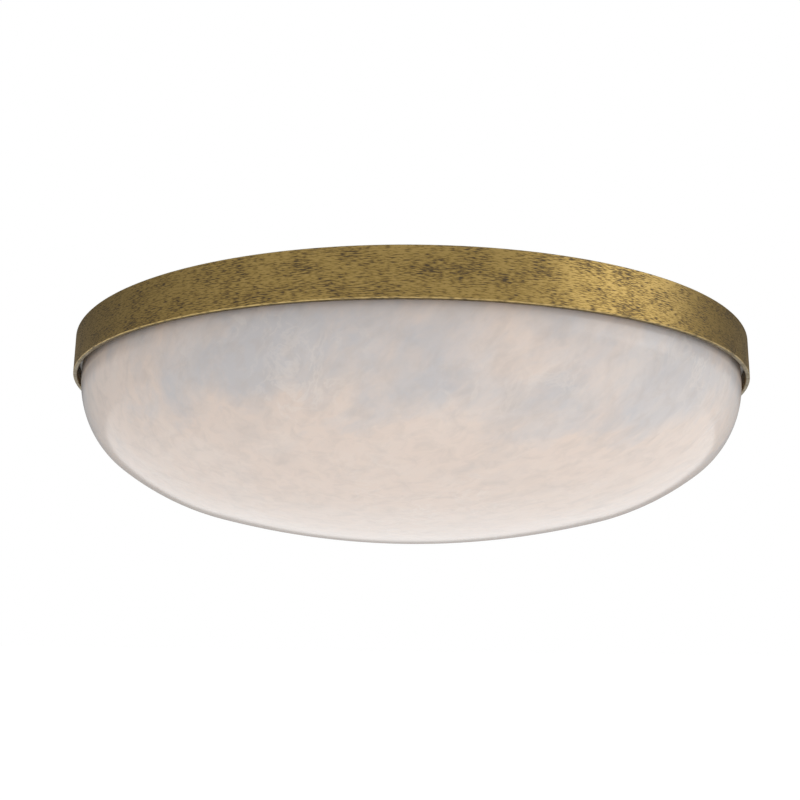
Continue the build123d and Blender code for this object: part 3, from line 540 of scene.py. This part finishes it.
def make_lamp_glass(number, angle):
    """The frosted glass: one arc from the neck, level where it meets the round end, turned round the axis."""
    cap_end, middle = 84 * mm, 121 * mm
    neck, radius, wall = 12.6 * mm, 24 * mm, 1 * mm
    length, swell = middle - cap_end, radius - neck
    flank = (length**2 + swell**2) / (2 * swell)
    flare = np.degrees(np.arcsin(length / flank))

    def profile(glass):
        side = arc((radius - flank, -middle), flank - glass, flare, 0, 24) * [1, -1]
        return np.vstack([side, arc((0, middle), radius - glass, 0, 90, 20)[1:]])

    outside, inside = profile(0), profile(wall)[::-1]
    points, faces = turned(np.vstack([outside, inside]), 72, closed=True)
    return surface(f"lamp_bulb_{number}", stand(points, *outwards(angle)), faces)


def make_lamp_cap(number, angle):
    """The cap: its thread is the radius mean + swing cos(2 pi z / climb - a), fading near the glass."""
    columns, mean, swing, climb = 72, 12.5 * mm, 0.4 * mm, 3.6 * mm
    height = np.linspace(60 * mm, 82 * mm, 96)
    turn = np.linspace(0, 2 * np.pi, columns, endpoint=False)
    wave = np.cos(2 * np.pi * height[:, None] / climb - turn)
    fade = np.clip((80.5 * mm - height) / (3 * mm), 0, 1)[:, None]
    radius = mean + swing * (wave * fade + 1 - fade)
    # Before the thread the contact and the end of the cap, after it the collar round the neck of the glass
    before = np.array([(0, 55), (2.4, 55), (3.2, 55.6), (3.2, 56), (8, 56.2)]) * mm
    after = np.array([(12.9, 83.6), (12.5, 84), (0, 84)]) * mm
    body = around(radius, height[:, None], turn)
    points = np.vstack([turned(before, columns)[0], body, turned(after, columns)[0]])
    faces = grid_faces(len(before) + len(height) + len(after), columns)
    return surface(f"lamp_thread_{number}", stand(points, *outwards(angle)), faces, 0.9)


def make_pad():
    """The felt pad: a ring with rounded edges; its top dips by 0.2 mm (1 + sin(9 a) cos(110 r + 4 a))."""
    inner, outer, low, high, edge = 48 * mm, 187.8 * mm, -13 * mm, -7 * mm, 1.5 * mm
    profile = np.vstack(
        [
            arc((inner + edge, low + edge), edge, -90, -180, 5),
            arc((inner + edge, high - edge), edge, 180, 90, 5),
            np.stack([np.linspace(inner + 6 * mm, outer - 6 * mm, 24), np.full(24, high)], 1),
            arc((outer - edge, high - edge), edge, 90, 0, 5),
            arc((outer - edge, low + edge), edge, 0, -90, 5),
        ]
    )
    points, faces = turned(profile, 180, closed=True)
    turn, reach = np.arctan2(points[:, 1], points[:, 0]), np.hypot(points[:, 0], points[:, 1])
    dip = 0.2 * mm * (1 + np.sin(9 * turn) * np.cos(110 * reach + 4 * turn))
    points[:, 2] -= dip * (points[:, 2] > high - edge / 2)
    return surface("felt_ring", points, faces)


def make_studs():
    """The threaded studs, M5 through the pan and M4 in the bowl's rim, and the nuts on them."""
    thread = threaded(2.4 * mm, 21 * mm, 0.8 * mm, 0.35 * mm)
    studs = copies(thread, [(x, 0, pan_stud_end) for x in pan_studs_at])
    settle(joined("threaded_studs", studs), "mounting_studs", zinc)
    rim_spots = [(rim_middle * np.cos(turn), rim_middle * np.sin(turn)) for turn in rim_stud_angles]
    thread = threaded(2 * mm, 15.8 * mm, 0.7 * mm, 0.3 * mm)
    studs = copies(thread, [(*spot, rim_stud_end) for spot in rim_spots])
    settle(joined("rim_studs", studs), "bowl_studs", zinc)

    # M4 nuts on the ring, 7 mm across flats and chamfered at both ends, one corner outwards
    face, bore, low, high = 3.45 * mm, 2.05 * mm, ring_top, ring_top + 3.2 * mm
    rows = [(bore, low), *chamfer(face, low, (0, 0.1, 0.2, 0.34))]
    rows += chamfer(face, high, (-0.34, -0.2, -0.1, 0))
    points, faces = hexed([*rows, (bore, high), (bore, low)], 7 * mm)
    nuts = []
    for spot, turn in zip(rim_spots, rim_stud_angles):
        spin = np.array([[np.cos(turn), np.sin(turn), 0], [-np.sin(turn), np.cos(turn), 0], [0, 0, 1]])
        nuts.append((points @ spin + [*spot, 0], faces))
    settle(joined("rim_nuts", nuts), "stud_nuts", zinc)

    # Cap nuts under the pan: a dome of 4.32 mm on a hexagon of 9.6 mm, bored to just past the stud's end
    dome_radius, bore, low, bore_end = 4.32 * mm, 2.45 * mm, -19 * mm, -21.3 * mm
    dome = arc((0, low), dome_radius, -90, 0, 14)
    rows = [*dome, *chamfer(4.7 * mm, low, (0, 0.15, 0.3, 0.5)), (6 * mm, pan_floor)]
    cap = hexed([*rows, (bore, pan_floor), (bore, bore_end), (0, bore_end)], 9.6 * mm)
    caps = copies(cap, [(x, 0, 0) for x in pan_studs_at])
    settle(joined("domed_nuts", caps), "cap_nuts", fitting_brass)


def make_screws():
    """The slotted screws of terminals, block, lamp holders and thumb piece, and the green hexagon screw."""
    # Four clamping screws and the fixing screw stand in the wells of the block
    spots = [(x * mm, block_middle + y * mm, block_well_floor) for x in (-8, 8) for y in (-3.5, 3.5)]
    heads = copies(slotted(1.7 * mm, 1.5 * mm, 0.5 * mm, 0.6 * mm, 0.15 * mm), spots, down)
    settle(joined("clamping_screws", heads), "terminal_screws", zinc)
    head = slotted(2.7 * mm, 1.5 * mm, 0.8 * mm, 0.8 * mm, 0.5 * mm)
    screw = copies(head, [(0, block_middle, block_well_floor)], down)
    screw += copies(rod(1.5 * mm, block_well_floor, -11.8 * mm), [(0, block_middle, 0)])
    settle(joined("block_fixing_screw", screw), "block_screw", zinc)

    # Two through the plate of each bracket, driven outwards into the porcelain
    screws = []
    for angle in lamp_angles:
        for side in (-9 * mm, 9 * mm):
            place, axis = outwards(angle, 43.5 * mm, side)
            screws += copies(head, [place], -axis)
            screws += copies(rod(1.5 * mm, 0, 6.5 * mm), [place], axis)
    settle(joined("holder_screws", screws), "socket_screws", zinc)

    head = slotted(2.2 * mm, 2 * mm, 0.7 * mm, 0.8 * mm, 0.3 * mm)
    screw = copies(head, [thumb_screw_seat], to_the_right)
    screw += copies(rod(1.2 * mm, -7 * mm, 0), [thumb_screw_seat], to_the_right)
    settle(joined("thumb_screw", screw), "catch_screw", fitting_brass)

    # The green screw: a hexagon head under the bar, 7.6 mm across flats, and its shank
    low, corner, shank = -4.97 * mm, 5 * mm, 1.9 * mm
    rows = [(0, low), *chamfer(3.7 * mm, low, (0, 0.15, 0.3, 0.45)), (corner, bar_underside)]
    shape = hexed([*rows, (shank, bar_underside), (shank, 0), (0, 0)], 7.6 * mm)
    settle(joined("grounding_screw", copies(shape, [(-15.5 * mm, 9 * mm, 0)])), "ground_screw", green)


def make_rivets():
    """The rivets of the brackets, the hinge strap, the keeper and the hinge leaf."""
    spots = []
    for angle in lamp_angles:
        for side in (-8 * mm, 8 * mm):
            place, _ = outwards(angle, bracket_foot_middle, side)
            spots.append((place[0], place[1], pan_floor - bracket_sheet))
    row = copies(rivet(pan_sheet + bracket_sheet, rivet_head, 0.65 * mm), spots)
    settle(joined("foot_rivets", row), "bracket_rivets", zinc)

    # Those of the strap and of the keeper stand under the pan's flange and end flush with its top
    grip = pan_sheet + hinge_sheet
    spots = [(x * mm, y * mm, -grip) for x in (-204.8, -199.8) for y in (-4, 4)]
    row = copies(rivet(grip, rivet_radius, 0), spots)
    settle(joined("hinge_rivets", row), "strap_rivets", fitting_brass)
    grip = pan_sheet + keeper_sheet
    spots = [(199.1 * mm, y * mm, -grip) for y in (12.9, 18.1)]
    row = copies(rivet(grip, rivet_radius, 0), spots)
    settle(joined("hook_rivets", row), "keeper_rivets", fitting_brass)

    # Through leaf and band: head and tail clear the round faces by 0.05 mm where these come nearest
    row, tail, gap = [], 1.2 * rivet_radius, 0.05 * mm
    for side, height in ((4, -10.6), (-4, -10.6), (12, -17.4), (-12, -17.4)):
        start = -np.sqrt((band_outer + hinge_sheet) ** 2 - (abs(side) * mm - rivet_head) ** 2) - gap
        stop = gap - np.sqrt(band_inner**2 - (abs(side) * mm + tail) ** 2)
        shape = rivet(stop - start, tail, 0.65 * mm)
        row += copies(shape, [(start, side * mm, height * mm)], to_the_right)
    settle(joined("leaf_and_band_rivets", row), "leaf_rivets", fitting_brass)


brass = antique_brass()
stone = alabaster()

# Zinc-plated steel sheet: cool and a little uneven, with fine rolling lines
zinc, tree, shader = new_material("zinc_plated_steel", "b9bcc0", 0.35, 1.0)
mottle(tree, shader, 5 * mm, "c4c6c9", "9da1a6", (0.28, 0.42), 0.01 * mm, (1, 4, 4))

# Baked white enamel on the pan: a faint orange peel
enamel, tree, shader = new_material("white_baked_enamel", "efeeea", 0.35)
mottle(tree, shader, 2.5 * mm, "f1f0ec", "ecebe6", (0.3, 0.38), 0.004 * mm)

# Pressed mineral felt: soft, matt and fibrous
felt, tree, shader = new_material("pressed_mineral_felt", "d8cda9", 0.95)
mottle(tree, shader, 1.6 * mm, "dfd5b4", "bfb289", (0.9, 1.0), 0.4 * mm, (1, 1, 1), 8.0)

# Soft rubber of the gasket
rubber, tree, shader = new_material("black_rubber", "2c2b29", 0.8)
mottle(tree, shader, 1.0 * mm, "34322f", "242321", (0.7, 0.9), 0.03 * mm)

# Machined brass fittings, lacquered
fitting_brass, tree, shader = new_material("lacquered_brass", "9a8354", 0.35, 1.0)
mottle(tree, shader, 6 * mm, "b0965d", "857045", (0.3, 0.45), 0.01 * mm, (1, 1, 5))

# Stamped brass of the screw shells and contacts
shell_brass, tree, shader = new_material("stamped_brass", "b89a58", 0.3, 1.0)
mottle(tree, shader, 4 * mm, "c4a766", "a5884a", (0.25, 0.4), 0.01 * mm)

# Glazed porcelain
porcelain, tree, shader = new_material("glazed_porcelain", "f1eee6", 0.12)
mottle(tree, shader, 8 * mm, "f4f1ea", "ece8df", (0.1, 0.16), 0.01 * mm)

# Moulded plastics of the bushing and the terminal block
black_plastic, tree, shader = new_material("black_nylon", "23221f", 0.5)
mottle(tree, shader, 0.8 * mm, "282724", "1c1b19", (0.45, 0.6), 0.02 * mm)
cream_plastic, tree, shader = new_material("cream_polyamide", "e6dfcd", 0.35)
mottle(tree, shader, 1.2 * mm, "e9e2d1", "dcd4bf", (0.3, 0.42), 0.02 * mm)

# Green lacquer of the grounding screw
green, tree, shader = new_material("green_lacquered_steel", "2f7d46", 0.3)
mottle(tree, shader, 1.5 * mm, "35864c", "276b3b", (0.25, 0.4))

# Frosted glass and the aluminium caps of the lamps
frosted, tree, shader = new_material("inside_frosted_glass", "f6f5f1", 0.3, Transmission_Weight=0.15)
mottle(tree, shader, 3 * mm, "f8f7f3", "efeeea", (0.25, 0.35))
cap_metal, tree, shader = new_material("rolled_aluminium", "c9cacb", 0.3, 1.0)
mottle(tree, shader, 3 * mm, "d2d3d4", "b4b6b8", (0.25, 0.4), 0.01 * mm)

settle(make_band(), "band", brass)
settle(make_bowl(), "alabaster_bowl", stone)
for number, angle in enumerate(lamp_angles, 1):
    settle(make_lamp_glass(number, angle), f"lamp_glass_{number}", frosted)
    settle(make_lamp_cap(number, angle), f"lamp_cap_{number}", cap_metal)
    dressed(f"socket_{number}", porcelain)
    dressed(f"socket_bracket_{number}", zinc)
    dressed(f"screw_shell_{number}", shell_brass)
    dressed(f"centre_contact_{number}", shell_brass)

make_studs()
make_screws()
make_rivets()
for node in ("hinge_strap", "hinge_leaf", "hinge_pin"):
    dressed(node, fitting_brass, 0.15 * mm)
for node in ("catch_keeper", "catch_guides", "catch_bolt", "thumb_piece"):
    dressed(node, fitting_brass, 0.15 * mm)
for node in ("carrier_ring", "mounting_crossbar"):
    dressed(node, zinc, 0.2 * mm)
dressed("rim_gasket", rubber)
dressed("ceiling_pan", enamel)
settle(make_pad(), "insulation_pad", felt)
dressed("wire_bushing", black_plastic, 0.2 * mm)
dressed("terminal_block", cream_plastic, 0.2 * mm)


# The camera, fitted to the outline: below and in front of the light, looking slightly up. Its angles are
# in radians, its focal length and its vertical shift in pixels of a picture 800 pixels wide
camera_place = (0, -0.4544, -0.1187)
yaw, pitch, roll = -0.0133, 0.1386, 0.0107
focal_length, shift, picture = 643.7, 56.25, 800
forward = np.array([np.sin(yaw) * np.cos(pitch), np.cos(yaw) * np.cos(pitch), np.sin(pitch)])
right = np.array([np.cos(yaw), -np.sin(yaw), 0])
up = np.cross(right, forward)
right, up = np.cos(roll) * right + np.sin(roll) * up, np.cos(roll) * up - np.sin(roll) * right
camera_data = bpy.data.cameras.new("camera")
camera_data.sensor_width = 36
camera_data.lens = focal_length / picture * camera_data.sensor_width
camera_data.shift_y = shift / picture
camera_data.clip_start = 0.01
camera = bpy.data.objects.new("camera", camera_data)
placed = np.eye(4)
placed[:3, :3] = np.stack([right, up, -forward], 1)
placed[:3, 3] = camera_place
camera.matrix_world = Matrix(placed.tolist())
bpy.context.scene.collection.objects.link(camera)
bpy.context.scene.camera = camera


def softbox(name, place, target, size, power, mirrored=True):
    """A square area lamp at a place, turned to a target; it shows in reflections or not."""
    data = bpy.data.lights.new(name, "AREA")
    data.size = size
    data.energy = power
    lamp = bpy.data.objects.new(name, data)
    aim = np.asarray(target, float) - place
    aim /= np.linalg.norm(aim)
    side = np.cross(aim, (0, 0, 1.0))
    side /= np.linalg.norm(side)
    matrix = np.eye(4)
    matrix[:3, :3] = np.stack([side, np.cross(side, aim), -aim], 1)
    matrix[:3, 3] = place
    lamp.matrix_world = Matrix(matrix.tolist())
    lamp.visible_camera = False
    lamp.visible_glossy = mirrored
    bpy.context.scene.collection.objects.link(lamp)


softbox("lamp_below", (0.25, -0.6, -1.95), (0, 0, -0.1), 1.2, 11.8, mirrored=False)
softbox("lamp_right", (1.64, -0.77, 0.75), (0, 0, -0.02), 1.3, 5.6)
softbox("lamp_front", (0.9, -1.8, -0.45), (0, 0, -0.06), 1.0, 4, mirrored=False)

# The world: white to the camera and even for soft light. Reflections see it bright below and level and
# dimmer overhead, and both parts fade towards the back
world = bpy.data.worlds.new("studio")
bpy.context.scene.world = world
world.use_nodes = True
tree = world.node_tree
tree.nodes.clear()
rays = add(tree, "ShaderNodeLightPath").outputs
way = add(tree, "ShaderNodeSeparateXYZ", {0: add(tree, "ShaderNodeTexCoord").outputs["Generated"]}).outputs
above = add(tree, "ShaderNodeMapRange", {0: way[1], 1: -0.7, 2: 0.4, 3: 0.55, 4: 0.1}).outputs[0]
below = add(tree, "ShaderNodeMapRange", {0: way[1], 1: 0.3, 2: 0.9, 3: 0.8, 4: 0.3}).outputs[0]
mirrored = add(tree, "ShaderNodeMapRange", {0: way[2], 1: 0.14, 2: 0.2, 3: below, 4: above}).outputs[0]
inputs = {0: rays["Is Glossy Ray"], 1: rays["Is Transmission Ray"]}
seen = add(tree, "ShaderNodeMath", inputs, operation="MAXIMUM").outputs[0]
strength = add(tree, "ShaderNodeMapRange", {0: seen, 3: 0.58, 4: mirrored}).outputs[0]
strength = add(tree, "ShaderNodeMapRange", {0: rays["Is Camera Ray"], 3: strength, 4: 1.0}).outputs[0]
sky = add(tree, "ShaderNodeBackground", {"Color": (1, 1, 1, 1), "Strength": strength})
add(tree, "ShaderNodeOutputWorld", {"Surface": sky.outputs[0]})

# The floor, far below the ceiling: white to the camera, and it keeps a little of the shadow
floor_mesh = bpy.data.meshes.new("floor")
reach, depth = 14.0, -2.4
floor_mesh.from_pydata(
    [(-reach, -reach, depth), (reach, -reach, depth), (reach, reach, depth), (-reach, reach, depth)],
    [],
    [(0, 1, 2, 3)],
)
floor = bpy.data.objects.new("floor", floor_mesh)
bpy.context.scene.collection.objects.link(floor)
paint, tree, shader = new_material("pale_floor_paint", "f2f2f2", 0.9)
rays = add(tree, "ShaderNodeLightPath").outputs
seen = add(tree, "ShaderNodeMath", {0: rays["Is Camera Ray"], 1: rays["Is Glossy Ray"]}, operation="MAXIMUM")
seen = add(tree, "ShaderNodeMath", {0: seen.outputs[0], 1: 0.85}, operation="MULTIPLY").outputs[0]
glow = add(tree, "ShaderNodeEmission", {"Color": (1, 1, 1, 1), "Strength": 1.15}).outputs[0]
blend = add(tree, "ShaderNodeMixShader", {0: seen, 1: shader.outputs[0], 2: glow}).outputs[0]
tree.links.new(blend, tree.nodes["Material Output"].inputs["Surface"])
floor_mesh.materials.append(paint)

bpy.context.scene.view_settings.view_transform = "Standard"
